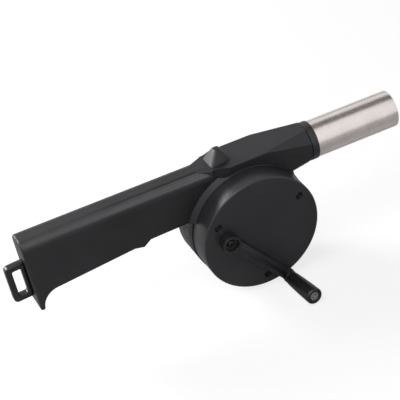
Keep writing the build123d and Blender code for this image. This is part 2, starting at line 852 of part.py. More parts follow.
with BuildPart() as impeller:
    with BuildSketch(side.offset(fan_front)):
        Circle(fan_r)
    extrude(amount=-fan_disc)
    with BuildSketch(side.offset(cover_seat - fan_bush_length - end_float)):
        Circle(fan_hub_r)
    extrude(amount=fan_bush_length + 2 * end_float - cover_seat - rear_hub_end)
    with BuildSketch(side.offset(fan_front - fan_disc)) as blades:
        tip_turn = radians(blade_sweep)
        bow = (fan_eye_r + fan_r) / 2
        with BuildLine() as blade_line:
            ThreePointArc(
                (fan_eye_r, 0),
                (bow * cos(tip_turn / 3), bow * sin(tip_turn / 3)),
                (
                    (fan_r - blade_wall) * cos(tip_turn),
                    (fan_r - blade_wall) * sin(tip_turn),
                ),
            )
        blade = trace(line_width=blade_wall)
    extrude(amount=-blade_height)
    with BuildSketch(side.offset(cover_seat)):
        Circle(axle_r + snug)
    extrude(amount=-cover_seat - rear_bush_end, mode=Mode.SUBTRACT)
save(impeller, "impeller")

# ---- screws
with BuildPart() as cover_screws:
    for spot in screw_spots:
        add(screw(at(spot, 0), head_seat, head_seat + screw_reach, screw_head_r, screw_head))
save(cover_screws, "cover_screws")

rear_side = Plane(origin=(drum_x, 0, drum_z), x_dir=(-1, 0, 0), z_dir=(0, 1, 0))
with BuildPart() as handle_screws:
    for x, z in handle_screw_spots:
        place = Plane(origin=rear_side.from_local_coords((-x, z, 0)), x_dir=(-1, 0, 0), z_dir=(0, 1, 0))
        add(screw(place, handle_seat, handle_seat + handle_screw_reach, screw_head_r, screw_head))
save(handle_screws, "handle_screws")
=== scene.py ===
import bpy
import json
from math import atan2, cos, pi, radians, sin
from mathutils import Euler, Matrix, Vector


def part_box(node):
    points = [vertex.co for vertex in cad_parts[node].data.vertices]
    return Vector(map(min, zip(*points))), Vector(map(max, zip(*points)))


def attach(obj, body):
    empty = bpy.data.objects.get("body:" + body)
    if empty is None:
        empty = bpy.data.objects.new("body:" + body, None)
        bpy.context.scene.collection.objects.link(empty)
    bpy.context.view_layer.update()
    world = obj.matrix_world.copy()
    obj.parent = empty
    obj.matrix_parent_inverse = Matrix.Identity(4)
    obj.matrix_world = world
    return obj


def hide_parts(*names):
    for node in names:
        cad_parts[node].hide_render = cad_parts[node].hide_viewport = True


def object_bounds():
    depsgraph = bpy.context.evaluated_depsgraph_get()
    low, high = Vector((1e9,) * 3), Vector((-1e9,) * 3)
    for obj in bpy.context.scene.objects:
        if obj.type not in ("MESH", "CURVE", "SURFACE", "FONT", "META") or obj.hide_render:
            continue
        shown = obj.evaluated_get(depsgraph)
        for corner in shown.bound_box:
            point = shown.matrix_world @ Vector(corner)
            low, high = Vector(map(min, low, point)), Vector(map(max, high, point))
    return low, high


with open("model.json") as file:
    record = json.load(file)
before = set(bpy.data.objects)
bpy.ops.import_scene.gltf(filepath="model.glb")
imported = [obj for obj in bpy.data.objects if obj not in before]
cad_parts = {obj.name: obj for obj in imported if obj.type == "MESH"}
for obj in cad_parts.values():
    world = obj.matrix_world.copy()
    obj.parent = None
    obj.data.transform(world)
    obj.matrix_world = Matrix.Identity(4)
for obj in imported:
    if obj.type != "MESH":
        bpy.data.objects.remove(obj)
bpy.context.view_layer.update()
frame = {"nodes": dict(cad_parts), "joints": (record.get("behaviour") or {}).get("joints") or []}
mm = 0.001
print("frame loaded,", len(frame["nodes"]), "nodes")

jointAt = {j["name"]: Vector(j["pos_m"]) for j in frame["joints"]}
jointAxis = {j["name"]: Vector(j["axis"]) for j in frame["joints"]}
drumAxis = jointAt["fan_spin"]
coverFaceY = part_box("gear_cover")[0].y


# ------- nodes and colours
def toLinear(hexColour):
    # sRGB hex to the linear values that the shaders want
    channels = [int(hexColour[i:i + 2], 16) / 255 for i in (1, 3, 5)]
    return [c / 12.92 if c <= 0.04045 else ((c + 0.055) / 1.055) ** 2.4 for c in channels] + [1.0]


def addNode(material, kind, links=None, **settings):
    # makes a node, sets its options and sockets, and links the sockets that are given
    node = material.node_tree.nodes.new(kind)
    sockets = settings.pop("sockets", {})
    for option, value in settings.items():
        setattr(node, option, value)
    for socket, value in sockets.items():
        node.inputs[socket].default_value = value
    for socket, source in (links or {}).items():
        material.node_tree.links.new(source, node.inputs[socket])
    return node


def newMaterial(name, **shader):
    material = bpy.data.materials.new(name)
    material.use_nodes = True
    bsdf = material.node_tree.nodes["Principled BSDF"]
    for socket, value in shader.items():
        bsdf.inputs[socket.replace("_", " ")].default_value = value
    return material, bsdf


def link(material, source, target):
    material.node_tree.links.new(source, target)


def perMetre(sizeMm):
    # scale of a noise whose features are about this many mm apart
    return 1 / (sizeMm * mm)


def edgeMask(material, radiusMm):
    # 0 on flat faces, rising to 1 on an edge that hands or the bench have rubbed
    rounded = addNode(material, "ShaderNodeBevel", samples=4, sockets={"Radius": radiusMm * mm})
    geometry = addNode(material, "ShaderNodeNewGeometry")
    dot = addNode(
        material, "ShaderNodeVectorMath", operation="DOT_PRODUCT",
        links={0: rounded.outputs[0], 1: geometry.outputs["True Normal"]},
    )
    return addNode(
        material, "ShaderNodeMapRange", links={"Value": dot.outputs["Value"]},
        sockets={"From Min": 0.995, "From Max": 0.9, "To Min": 0.0, "To Max": 1.0},
    ).outputs[0]


def mixColour(material, factor, colourA, colourB):
    node = addNode(material, "ShaderNodeMix", data_type="RGBA")
    for socket, value in ((6, colourA), (7, colourB)):
        if isinstance(value, str):
            node.inputs[socket].default_value = toLinear(value)
        else:
            link(material, value, node.inputs[socket])
    if isinstance(factor, float):
        node.inputs[0].default_value = factor
    else:
        link(material, factor, node.inputs[0])
    return node.outputs[2]


def mapTo(material, source, low, high, newLow, newHigh):
    return addNode(
        material, "ShaderNodeMapRange", links={"Value": source},
        sockets={"From Min": low, "From Max": high, "To Min": newLow, "To Max": newHigh},
    ).outputs[0]


# ------- materials
def mouldedPlastic(name, look):
    # injection moulded black ABS: the spark eroded mould leaves a fine even grain, flow leaves
    # broad soft clouds, and rubbed edges go a little lighter and smoother
    material, bsdf = newMaterial(name, IOR=1.53, Specular_IOR_Level=look["specular"])
    place = addNode(material, "ShaderNodeTexCoord").outputs["Object"]
    clouds = addNode(
        material, "ShaderNodeTexNoise", links={"Vector": place},
        sockets={"Scale": perMetre(look["cloudMm"]), "Detail": 3.0},
    ).outputs["Fac"]
    grain = addNode(
        material, "ShaderNodeTexNoise", links={"Vector": place},
        sockets={"Scale": perMetre(look["grainMm"]), "Detail": 2.0, "Roughness": 0.6},
    ).outputs["Fac"]
    dust = addNode(
        material, "ShaderNodeTexNoise", links={"Vector": place},
        sockets={"Scale": perMetre(look["dustMm"]), "Detail": 5.0, "Roughness": 0.65},
    ).outputs["Fac"]
    base = mixColour(material, mapTo(material, clouds, 0.3, 0.7, 0.0, 1.0), look["dark"], look["light"])
    dusty = mapTo(material, dust, 0.58, 0.8, 0.0, look["dustShare"])
    dusted = mixColour(material, dusty, base, look["dust"])
    edge = edgeMask(material, look["edgeMm"])
    worn = addNode(
        material, "ShaderNodeMath", operation="MULTIPLY",
        links={0: edge, 1: mapTo(material, dust, 0.35, 0.65, 0.15, look["edgeShare"])},
    ).outputs[0]
    link(material, mixColour(material, worn, dusted, look["rubbed"]), bsdf.inputs["Base Color"])
    rough = mapTo(material, clouds, 0.3, 0.7, look["roughness"] - 0.03, look["roughness"] + 0.03)
    polished = addNode(material, "ShaderNodeMix", data_type="FLOAT", sockets={3: look["roughness"] - 0.12})
    link(material, worn, polished.inputs[0])
    link(material, rough, polished.inputs[2])
    link(material, polished.outputs[0], bsdf.inputs["Roughness"])
    sink = addNode(
        material, "ShaderNodeBump", links={"Height": clouds},
        sockets={"Strength": 0.35, "Distance": look["sinkMm"] * mm},
    ).outputs[0]
    bump = addNode(
        material, "ShaderNodeBump", links={"Height": grain, "Normal": sink},
        sockets={"Strength": look["grainStrength"], "Distance": look["grainDepthMm"] * mm},
    ).outputs[0]
    link(material, bump, bsdf.inputs["Normal"])
    return material


caseLook = {
    "dark": "#111113", "light": "#1a1a1c", "rubbed": "#333437", "dust": "#303034",
    "cloudMm": 24, "grainMm": 0.55, "dustMm": 7, "dustShare": 0.3, "edgeMm": 0.5, "edgeShare": 0.7,
    "roughness": 0.46, "specular": 0.42, "sinkMm": 0.5, "grainDepthMm": 0.05, "grainStrength": 0.5,
}
coverLook = dict(caseLook, dark="#202022", light="#2a2a2c", roughness=0.4, grainStrength=0.3, cloudMm=45)
loopLook = dict(caseLook, dark="#0f0f11", light="#151517", rubbed="#303033", roughness=0.28,
                grainStrength=0.1, edgeShare=0.9)
crankLook = dict(caseLook, dark="#111113", light="#19191b", rubbed="#48484b", roughness=0.34,
                 grainStrength=0.15, edgeShare=0.95, cloudMm=15)
knobLook = dict(crankLook, dark="#0c0c0d", light="#131315", roughness=0.38, rubbed="#2c2c2f")
fanLook = dict(caseLook, dark="#1b1b1c", light="#232324", roughness=0.4)


def satinSteel(name, look):
    # stainless strip, rolled and welded to a tube, then linished: fine lines round the tube
    material, bsdf = newMaterial(name, Metallic=1.0)
    place = addNode(material, "ShaderNodeTexCoord").outputs["Object"]
    squeezed = addNode(
        material, "ShaderNodeMapping", links={"Vector": place}, sockets={"Scale": look["stretch"]},
    )
    lines = addNode(
        material, "ShaderNodeTexNoise", links={"Vector": squeezed.outputs[0]},
        sockets={"Scale": perMetre(look["lineMm"]), "Detail": 4.0, "Roughness": 0.7},
    ).outputs["Fac"]
    clouds = addNode(
        material, "ShaderNodeTexNoise", links={"Vector": place},
        sockets={"Scale": perMetre(look["cloudMm"]), "Detail": 3.0},
    ).outputs["Fac"]
    tone = mixColour(material, mapTo(material, clouds, 0.3, 0.7, 0.0, 1.0), look["dark"], look["light"])
    scratched = mapTo(material, lines, 0.4, 0.75, 0.0, look["lineShare"])
    lined = mixColour(material, scratched, tone, look["scratch"])
    link(material, lined, bsdf.inputs["Base Color"])
    rough = mapTo(material, lines, 0.3, 0.7, look["roughness"] - 0.05, look["roughness"] + 0.06)
    link(material, rough, bsdf.inputs["Roughness"])
    bump = addNode(
        material, "ShaderNodeBump", links={"Height": lines},
        sockets={"Strength": look["lineStrength"], "Distance": 0.02 * mm},
    ).outputs[0]
    link(material, bump, bsdf.inputs["Normal"])
    return material


tubeLook = {
    "dark": "#e2d8d1", "light": "#f0e7e1", "scratch": "#fbf5f0", "stretch": (1.0, 0.08, 0.08),
    "lineMm": 0.35, "cloudMm": 14, "lineShare": 0.35, "roughness": 0.3, "lineStrength": 0.2,
}
shaftLook = dict(tubeLook, dark="#8f8f90", light="#a5a5a6", scratch="#c8c8c8", roughness=0.25,
                 stretch=(1.0, 0.2, 1.0), lineMm=0.2)
zincLook = dict(tubeLook, dark="#8d8e90", light="#a9aaab", scratch="#c9c9c6", roughness=0.3,
                stretch=(1.0, 1.0, 1.0), cloudMm=2.5)
# painted shade: this near black steel is for the hub screw, and stands in for the shade deep in the hub's
# recess
recessShadeScrewLook = dict(tubeLook, dark="#2b2b2c", light="#3a3a3b", scratch="#58585a", roughness=0.4,
                 stretch=(1.0, 1.0, 1.0), cloudMm=2.5)
bushLook = dict(tubeLook, dark="#332b1c", light="#463c28", scratch="#5f5238", roughness=0.42,
                stretch=(1.0, 1.0, 1.0), lineMm=0.12, cloudMm=2.0)


def acetal(name, look):
    # natural acetal gears: creamy white and waxy, light goes a little way in, with patches of grease
    material, bsdf = newMaterial(name, IOR=1.48, Subsurface_Weight=look["waxy"])
    bsdf.inputs["Subsurface Radius"].default_value = (1.2 * mm, 1.0 * mm, 0.8 * mm)
    bsdf.inputs["Subsurface Scale"].default_value = 1.0
    place = addNode(material, "ShaderNodeTexCoord").outputs["Object"]
    grease = addNode(
        material, "ShaderNodeTexNoise", links={"Vector": place},
        sockets={"Scale": perMetre(look["greaseMm"]), "Detail": 4.0},
    ).outputs["Fac"]
    greased = mapTo(material, grease, 0.45, 0.7, 0.0, look["greaseShare"])
    tone = mixColour(material, greased, look["clean"], look["greasy"])
    link(material, tone, bsdf.inputs["Base Color"])
    rough = mapTo(material, grease, 0.4, 0.7, look["cleanRoughness"], look["greasyRoughness"])
    link(material, rough, bsdf.inputs["Roughness"])
    bump = addNode(
        material, "ShaderNodeBump", links={"Height": grease},
        sockets={"Strength": 0.2, "Distance": 0.05 * mm},
    ).outputs[0]
    link(material, bump, bsdf.inputs["Normal"])
    return material


gearLook = {
    "clean": "#e6e1d2", "greasy": "#c9b98f", "greaseMm": 3.5, "greaseShare": 0.6, "waxy": 0.15,
    "cleanRoughness": 0.4, "greasyRoughness": 0.18,
}

casePlastic = mouldedPlastic("moulded_abs_case", caseLook)
coverPlastic = mouldedPlastic("moulded_abs_cover", coverLook)
loopPlastic = mouldedPlastic("moulded_nylon_loop", loopLook)
crankPlastic = mouldedPlastic("moulded_nylon_crank", crankLook)
knobPlastic = mouldedPlastic("moulded_polypropylene_knob", knobLook)
fanPlastic = mouldedPlastic("moulded_abs_fan", fanLook)
tubeSteel = satinSteel("linished_stainless_tube", tubeLook)
shaftSteel = satinSteel("ground_steel_shaft", shaftLook)
zincSteel = satinSteel("zinc_plated_screw", zincLook)
bushMetal = satinSteel("sintered_brass_bush", bushLook)
# painted shade: near black steel on the hub screw, for the shade deep in the hub's recess
recessShadeScrewSteel = satinSteel("screw_painted_dark_for_recess_shade", recessShadeScrewLook)
gearPlastic = acetal("moulded_acetal_gear", gearLook)
print("materials made")


# ------- modelling helpers
def clearSelection():
    if bpy.context.mode != "OBJECT":
        bpy.ops.object.mode_set(mode="OBJECT")
    bpy.ops.object.select_all(action="DESELECT")


def pick(obj):
    clearSelection()
    obj.select_set(True)
    bpy.context.view_layer.objects.active = obj


def applyModifier(obj, kind, **options):
    pick(obj)
    modifier = obj.modifiers.new(kind.title(), kind)
    for option, value in options.items():
        setattr(modifier, option, value)
    bpy.ops.object.modifier_apply(modifier=modifier.name)


def applyPlace(obj, matrix=None):
    pick(obj)
    if matrix is not None:
        obj.matrix_world = matrix
    bpy.ops.object.transform_apply(location=True, rotation=True, scale=True)


def tidyNormals(obj):
    pick(obj)
    bpy.ops.object.mode_set(mode="EDIT")
    bpy.ops.mesh.select_all(action="SELECT")
    bpy.ops.mesh.remove_doubles(threshold=0.002 * mm)
    bpy.ops.mesh.normals_make_consistent(inside=False)
    bpy.ops.object.mode_set(mode="OBJECT")


def smooth(obj, angle=32):
    pick(obj)
    bpy.ops.object.shade_smooth_by_angle(angle=radians(angle))


def finish(obj, material, body, slot, *nodes):
    obj.data.materials.clear()
    obj.data.materials.append(material)
    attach(obj, body)
    if nodes:
        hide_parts(*nodes)
    return obj


def joinPieces(name, pieces):
    pick(pieces[0])
    for piece in pieces[1:]:
        piece.select_set(True)
    bpy.ops.object.join()
    pieces[0].name = name
    return pieces[0]


def alongAxis(point, axis):
    # place whose Z runs along the axis, for a piece that was made upright at the origin
    return Matrix.Translation(point) @ axis.to_track_quat("Z", "Y").to_matrix().to_4x4()


def turned(name, rings, sides, closed=False):
    # a turned piece: a circle is extruded ring by ring, each ring given as (radius, height)
    clearSelection()
    firstRadius, firstHeight = rings[0]
    bpy.ops.mesh.primitive_circle_add(vertices=sides, radius=firstRadius, location=(0, 0, firstHeight))
    obj = bpy.context.object
    obj.name = name
    applyPlace(obj)
    bpy.ops.object.mode_set(mode="EDIT")
    bpy.ops.mesh.select_mode(type="VERT")
    bpy.ops.mesh.select_all(action="SELECT")
    radius, height = rings[0]
    path = rings[1:] + [rings[0]] if closed else rings[1:]
    for nextRadius, nextHeight in path:
        bpy.ops.mesh.extrude_region_move(TRANSFORM_OT_translate={"value": (0, 0, nextHeight - height)})
        grow = nextRadius / radius
        bpy.ops.transform.resize(value=(grow, grow, 1), center_override=(0, 0, nextHeight))
        radius, height = nextRadius, nextHeight
    if not closed:
        bpy.ops.mesh.select_all(action="DESELECT")
        bpy.ops.mesh.select_mode(type="EDGE")
        bpy.ops.mesh.select_non_manifold()
        bpy.ops.mesh.edge_face_add()
        bpy.ops.mesh.select_mode(type="FACE")
    bpy.ops.object.mode_set(mode="OBJECT")
    tidyNormals(obj)
    return obj


def arcRings(centreRadius, centreHeight, radius, startAngle, endAngle, steps):
    # rings round a corner of a turned profile, angles in degrees from straight out
    rings = []
    for step in range(steps + 1):
        angle = radians(startAngle + (endAngle - startAngle) * step / steps)
        rings.append((centreRadius + radius * cos(angle), centreHeight + radius * sin(angle)))
    return rings


def block(low, high):
    # corners in mm
    clearSelection()
    low, high = Vector(low) * mm, Vector(high) * mm
    bpy.ops.mesh.primitive_cube_add(size=1, location=(low + high) / 2)
    obj = bpy.context.object
    obj.scale = high - low
    applyPlace(obj)
    return obj


def selectWhere(obj, test, mode="EDGE"):
    # selects the edges or faces that pass a test, and leaves the piece in edit mode
    pick(obj)
    bpy.ops.object.mode_set(mode="EDIT")
    bpy.ops.mesh.select_mode(type=mode)
    bpy.ops.mesh.select_all(action="DESELECT")
    bpy.ops.object.mode_set(mode="OBJECT")
    if mode == "EDGE":
        for edge in obj.data.edges:
            edge.select = test(*(obj.data.vertices[i].co for i in edge.vertices))
    else:
        for face in obj.data.polygons:
            face.select = test(face)
    bpy.ops.object.mode_set(mode="EDIT")


def combine(obj, other, operation):
    applyModifier(obj, "BOOLEAN", object=other, operation=operation, solver="EXACT")
    bpy.data.objects.remove(other)


def softCopy(node, name, edges, material, body, slot, rework=None):
    # the node's own form as one merged mesh, with the mould's small radius on its sharp edges
    source = frame["nodes"][node]
    clearSelection()
    piece = source.copy()
    piece.data = source.data.copy()
    piece.parent = None
    for key in [k for k in piece.keys() if k.startswith("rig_")]:
        del piece[key]
    bpy.context.scene.collection.objects.link(piece)
    piece.name = name
    pick(piece)
    bpy.ops.object.mode_set(mode="EDIT")
    bpy.ops.mesh.select_all(action="SELECT")
    bpy.ops.mesh.remove_doubles(threshold=0.001 * mm)
    if edges["dissolve"]:
        bpy.ops.mesh.dissolve_limited(angle_limit=radians(0.4), delimit={"NORMAL"})
    bpy.ops.object.mode_set(mode="OBJECT")
    if rework:
        rework(piece)
    applyModifier(
        piece, "BEVEL", width=edges["radiusMm"] * mm, segments=edges["segments"],
        limit_method="ANGLE", angle_limit=radians(edges["angle"]), use_clamp_overlap=True,
        miter_outer="MITER_ARC", harden_normals=True,
    )
    return finish(piece, material, body, slot, node)


# ------- case halves, cover, collar and crank arm
mouldEdge = {"radiusMm": 0.35, "segments": 2, "angle": 33, "dissolve": True}
# the grille face is left in its triangles, as one face can't hold that many slots
grilleEdge = dict(mouldEdge, radiusMm=0.15, dissolve=False)
drumMiddle = Vector((drumAxis.x, 0, drumAxis.z))
# lengths in mm, along X and up from the middle of the drum
housingSize = {
    "half": 12.4, "top": 46.8, "rear": -20.0, "axis": 34.4, "facetFrom": 17.0, "facetTo": 48.4,
    "cutFrom": 0.6, "cutTo": 7.26, "patchFrom": 27.0, "patchTo": 46.0, "patchHalf": 1.7,
    "patchDeep": 0.4, "proud": 0.02,
}
baseCut = {"rear": -31, "front": -3.5, "half": 15, "high": 12}
stepCut = {
    "front": -8.8, "side": -9.52, "slant": -8.8, "lowOnCrankSide": 20.0, "lowOnFarSide": 39.6,
    "spareX": 0.2, "spareY": 0.3, "high": 1,
}
rampSize = {
    "rear": -20.5, "rearHalf": 8.0, "front": -3.2, "frontHalf": 5.4, "root": 44.5, "crest": 55.1,
    "crestRear": -13.4, "crestFront": -9.4, "crestHalf": 2.7, "round": 1.1, "segments": 4,
}
shoulderSize = {
    "rear": -28.5, "front": -19.9, "wideHalf": 9.5, "narrowHalf": 5.4, "low": 38.0, "top": 46.78,
    "round": 0.6, "segments": 3,
}
lipSize = {
    "inner": 40.2, "outer": 43.7, "foot": -8.6, "shoulder": -9.7, "edge": -11.9, "sides": 160,
    "rear": -46, "front": 34, "throat": 14.9, "top": 46.7, "outY": -13, "inY": -8,
}


def inPlace(obj):
    # moves a piece that was made round the drum's middle to its place on the part
    applyPlace(obj, Matrix.Translation(drumMiddle))
    return obj


def near(value, target):
    return abs(value - target) < 0.01 * mm


def cleanHousing(side):
    # takes off the ramp's rough base and the square step at the housing's rear end, on one side
    def rework(piece):
        h, b, s = housingSize, baseCut, stepCut
        base = block(
            (b["rear"], -b["half"], h["top"] + h["proud"]), (b["front"], b["half"], h["top"] + b["high"]),
        )
        combine(piece, inPlace(base), "DIFFERENCE")
        low = s["lowOnCrankSide"] if side < 0 else s["lowOnFarSide"]
        step = block(
            (h["rear"] - s["spareX"], -h["half"] - s["spareY"], low),
            (s["front"], s["side"], h["top"] + s["high"]),
        )
        if side > 0:
            applyPlace(step, Matrix.Scale(-1, 4, Vector((0, 1, 0))))
            tidyNormals(step)
        inner = -side * s["side"] * mm
        front = s["front"] * mm
        selectWhere(step, lambda a, b: all(near(v.y, inner) and near(v.x, front) for v in (a, b)))
        bpy.ops.transform.translate(value=(s["slant"] * mm, 0, 0))
        bpy.ops.object.mode_set(mode="OBJECT")
        combine(piece, inPlace(step), "DIFFERENCE")
    return rework


softCopy("front_shell", "caseFront", mouldEdge, casePlastic, "case", "case_plastic", cleanHousing(-1))
softCopy("rear_shell", "caseRear", grilleEdge, casePlastic, "case", "case_plastic", cleanHousing(1))
softCopy("gear_cover", "coverDrum", dict(mouldEdge, radiusMm=0.25), coverPlastic, "case", "case_plastic")
softCopy("nozzle_collar", "collarRing", dict(mouldEdge, radiusMm=0.2), coverPlastic, "case", "case_plastic")


# thumb ramp on the housing: a block drawn in to a short crest, with rounded ridges
def makeRamp(r):
    ramp = block((r["rear"], -r["rearHalf"], r["root"]), (r["front"], r["rearHalf"], r["crest"]))
    base = r["root"] * mm
    selectWhere(ramp, lambda face: face.normal.z > 0.9, "FACE")
    middleX = (r["rear"] + r["front"]) / 2
    shorten = (r["crestFront"] - r["crestRear"]) / (r["front"] - r["rear"])
    narrow = r["crestHalf"] / r["rearHalf"]
    bpy.ops.transform.resize(value=(shorten, narrow, 1), center_override=(middleX * mm, 0, 0))
    forward = (r["crestFront"] + r["crestRear"]) / 2 - middleX
    bpy.ops.transform.translate(value=(forward * mm, 0, 0))
    bpy.ops.object.mode_set(mode="OBJECT")
    front = r["front"] * mm
    selectWhere(ramp, lambda a, b: all(near(v.x, front) and near(v.z, base) for v in (a, b)))
    bpy.ops.transform.resize(value=(1, r["frontHalf"] / r["rearHalf"], 1), center_override=(0, 0, 0))
    bpy.ops.object.mode_set(mode="OBJECT")
    selectWhere(ramp, lambda a, b: max(a.z, b.z) > base + mm)
    bpy.ops.mesh.bevel(offset=r["round"] * mm, segments=r["segments"], affect="EDGES")
    bpy.ops.object.mode_set(mode="OBJECT")
    ramp.name = "thumbRamp"
    return inPlace(ramp)


def makeShoulder(s):
    # widens the handle's rounded top to the housing's square one
    shoulder = block((s["rear"], -s["wideHalf"], s["low"]), (s["front"], s["wideHalf"], s["top"]))
    selectWhere(shoulder, lambda face: face.normal.x < -0.9, "FACE")
    bpy.ops.transform.resize(value=(1, s["narrowHalf"] / s["wideHalf"], 1), center_override=(0, 0, 0))
    bpy.ops.object.mode_set(mode="OBJECT")
    top = s["top"] * mm
    selectWhere(shoulder, lambda a, b: min(a.z, b.z) > top - mm and abs(a.x - b.x) > mm)
    bpy.ops.mesh.bevel(offset=s["round"] * mm, segments=s["segments"], affect="EDGES")
    bpy.ops.object.mode_set(mode="OBJECT")
    return inPlace(shoulder)


thumbRamp = joinPieces("thumbRamp", [makeRamp(rampSize), makeShoulder(shoulderSize)])
smooth(thumbRamp)
finish(thumbRamp, casePlastic, "case", "case_plastic")

# lip of the case round the gear cover, falling away to the handle
lip = [(lipSize["inner"], lipSize["foot"]), (lipSize["outer"], lipSize["foot"])]
lip += [(lipSize["outer"], lipSize["shoulder"]), (lipSize["inner"], lipSize["edge"])]
lipRings = [(radius * mm, -along * mm) for radius, along in lip]
coverLip = turned("coverLip", lipRings, lipSize["sides"], closed=True)
applyPlace(coverLip, Matrix.Rotation(radians(90), 4, "X"))
kept = block(
    (lipSize["rear"], lipSize["outY"], lipSize["throat"]),
    (lipSize["front"], lipSize["inY"], lipSize["top"]),
)
combine(coverLip, kept, "INTERSECT")
inPlace(coverLip)
smooth(coverLip, 25)
finish(coverLip, casePlastic, "case", "case_plastic")


# thin skins over the small holes where the duct's corners come through the housing's facets
def facetSkin(sideY, sideZ):
    h = housingSize
    fall = (h["cutTo"] - h["cutFrom"]) / (h["facetTo"] - h["facetFrom"])
    normal = Vector((fall, sideY, sideZ)).normalized()
    across = Vector((0, sideY, -sideZ)).normalized()
    forward = across.cross(normal)
    middleX = (h["patchFrom"] + h["patchTo"]) / 2
    reach = 2 * h["half"] - h["cutFrom"] - fall * (middleX - h["facetFrom"])
    spot = Vector((middleX, sideY * reach / 2, h["axis"] + sideZ * reach / 2))
    half = (h["patchTo"] - h["patchFrom"]) / 2
    skin = block((-half, -h["patchHalf"], -h["patchDeep"]), (half, h["patchHalf"], h["proud"]))
    turn = Matrix((forward, across, normal)).transposed().to_4x4()
    applyPlace(skin, Matrix.Translation(spot * mm) @ turn)
    return inPlace(skin)


skins = [facetSkin(y, z) for y in (-1, 1) for z in (-1, 1)]
finish(joinPieces("facetSkins", skins), casePlastic, "case", "case_plastic")


# crank arm: a tapered bar with a raised middle, a hub ring sunk round its screw and a boss for
# the knob's pin
armSize = {
    "gap": 0.9, "angle": -50.0, "reach": 57.0, "flange": 3.4, "plateau": 4.9, "hubHalf": 4.3,
    "endHalf": 3.4, "rim": 1.3, "flangeSunk": 0.6, "plateauSunk": 0.8, "plateauDeep": 0.5,
    "hubR": 6.0, "hubTop": 5.9, "recessR": 4.6, "floor": 2.6, "web": 1.0, "bore": 3.06, "hole": 1.35,
    "bossR": 4.3, "bossTop": 5.2, "pinR": 2.1, "collar": 1.0, "collarDeep": 2.6,
    "sides": 72, "edgeRound": 0.3,
}
armStart = Vector(jointAt["crank_spin"])
armStart.y = coverFaceY - armSize["gap"] * mm
armPlace = Matrix.Translation(armStart) @ Matrix.Rotation(radians(90), 4, "X")
armPlace = armPlace @ Matrix.Rotation(radians(armSize["angle"]), 4, "Z")


def armBar(start, end, startHalf, endHalf, low, high):
    bar = block((start, -startHalf, low), (end, startHalf, high))
    selectWhere(bar, lambda face: face.normal.x > 0.9, "FACE")
    bpy.ops.transform.resize(value=(1, endHalf / startHalf, 1), center_override=(0, 0, 0))
    bpy.ops.object.mode_set(mode="OBJECT")
    applyPlace(bar, armPlace)
    return bar


def armRing(name, rings, place):
    rings = [(radius * mm, height * mm) for radius, height in rings]
    ring = turned(name, rings, armSize["sides"], closed=True)
    applyPlace(ring, place)
    return ring


def makeArm(a):
    flange = armBar(a["hubR"] - a["flangeSunk"], a["reach"], a["hubHalf"], a["endHalf"], 0, a["flange"])
    plateau = armBar(
        a["hubR"] - a["plateauSunk"], a["reach"], a["hubHalf"] - a["rim"], a["endHalf"] - a["rim"],
        a["flange"] - a["plateauDeep"], a["plateau"],
    )
    web = a["floor"] - a["web"]
    hub = armRing("hub", [
        (a["bore"], 0), (a["hubR"], 0), (a["hubR"], a["hubTop"]), (a["recessR"], a["hubTop"]),
        (a["recessR"], a["floor"]), (a["hole"], a["floor"]), (a["hole"], web), (a["bore"], web),
    ], armPlace)
    boss = armRing("boss", [
        (a["pinR"], 0), (a["bossR"], 0), (a["bossR"], a["bossTop"]), (a["pinR"], a["bossTop"]),
    ], armPlace @ Matrix.Translation(Vector((a["reach"], 0, 0)) * mm))
    collar = armRing("collar", [
        (a["pinR"], -a["collarDeep"]), (a["bossR"], -a["collarDeep"]),
        (a["bossR"], a["collar"]), (a["pinR"], a["collar"]),
    ], alongAxis(jointAt["knob_spin"], jointAxis["knob_spin"]))
    pieces = [flange, plateau, hub, boss, collar]
    for piece in pieces:
        applyModifier(
            piece, "BEVEL", width=a["edgeRound"] * mm, segments=2, limit_method="ANGLE",
            angle_limit=radians(40),
        )
    return joinPieces("crankArm", pieces)


crankArm = makeArm(armSize)
smooth(crankArm, 35)
finish(crankArm, crankPlastic, "crank", "crank_plastic", "crank_arm")
print("case and crank arm softened")

# ------- blow tube: welded strip, cut square, with its burr rolled inwards at the mouth
tubeSize = {"sides": 128, "wallMm": 0.6, "lipRoundMm": 0.24, "steps": 4, "bandEveryMm": 4}
tubeLow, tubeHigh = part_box("blow_tube")
tubeOuter = (tubeHigh.z - tubeLow.z) / 2
tubeLength = tubeHigh.x - tubeLow.x
tubeInner = tubeOuter - tubeSize["wallMm"] * mm
roundness = tubeSize["lipRoundMm"] * mm
bands = int(tubeLength / (tubeSize["bandEveryMm"] * mm))
outside = [(tubeOuter, tubeLength * n / bands) for n in range(bands)]
mouth = arcRings(tubeOuter - roundness, tubeLength - roundness, roundness, 0, 90, tubeSize["steps"])
mouth += arcRings(tubeInner + roundness, tubeLength - roundness, roundness, 90, 180, tubeSize["steps"])
inside = [(tubeInner, tubeLength * (bands - n) / bands) for n in range(1, bands + 1)]
blowTube = turned("blowTube", outside + mouth + inside, tubeSize["sides"], closed=True)
applyPlace(blowTube, alongAxis(Vector((tubeLow.x, 0, 0)), Vector((1, 0, 0))))
smooth(blowTube)
finish(blowTube, tubeSteel, "case", "tube_steel", "blow_tube")
print("blow tube made")

# ------- knob: turned form with a rounded base, a slight belly and a sunk end round the screw
knobSize = {
    "bore": 2.06, "base": 4.6, "end": 5.5, "length": 26.5, "baseRound": 1.1, "endRound": 1.3,
    "recess": 3.3, "recessDeep": 2.4, "recessRound": 0.35, "belly": 0.12, "start": 1.3,
    "sides": 72, "steps": 5, "rings": 9,
}
knobAxis = jointAxis["knob_spin"].normalized()


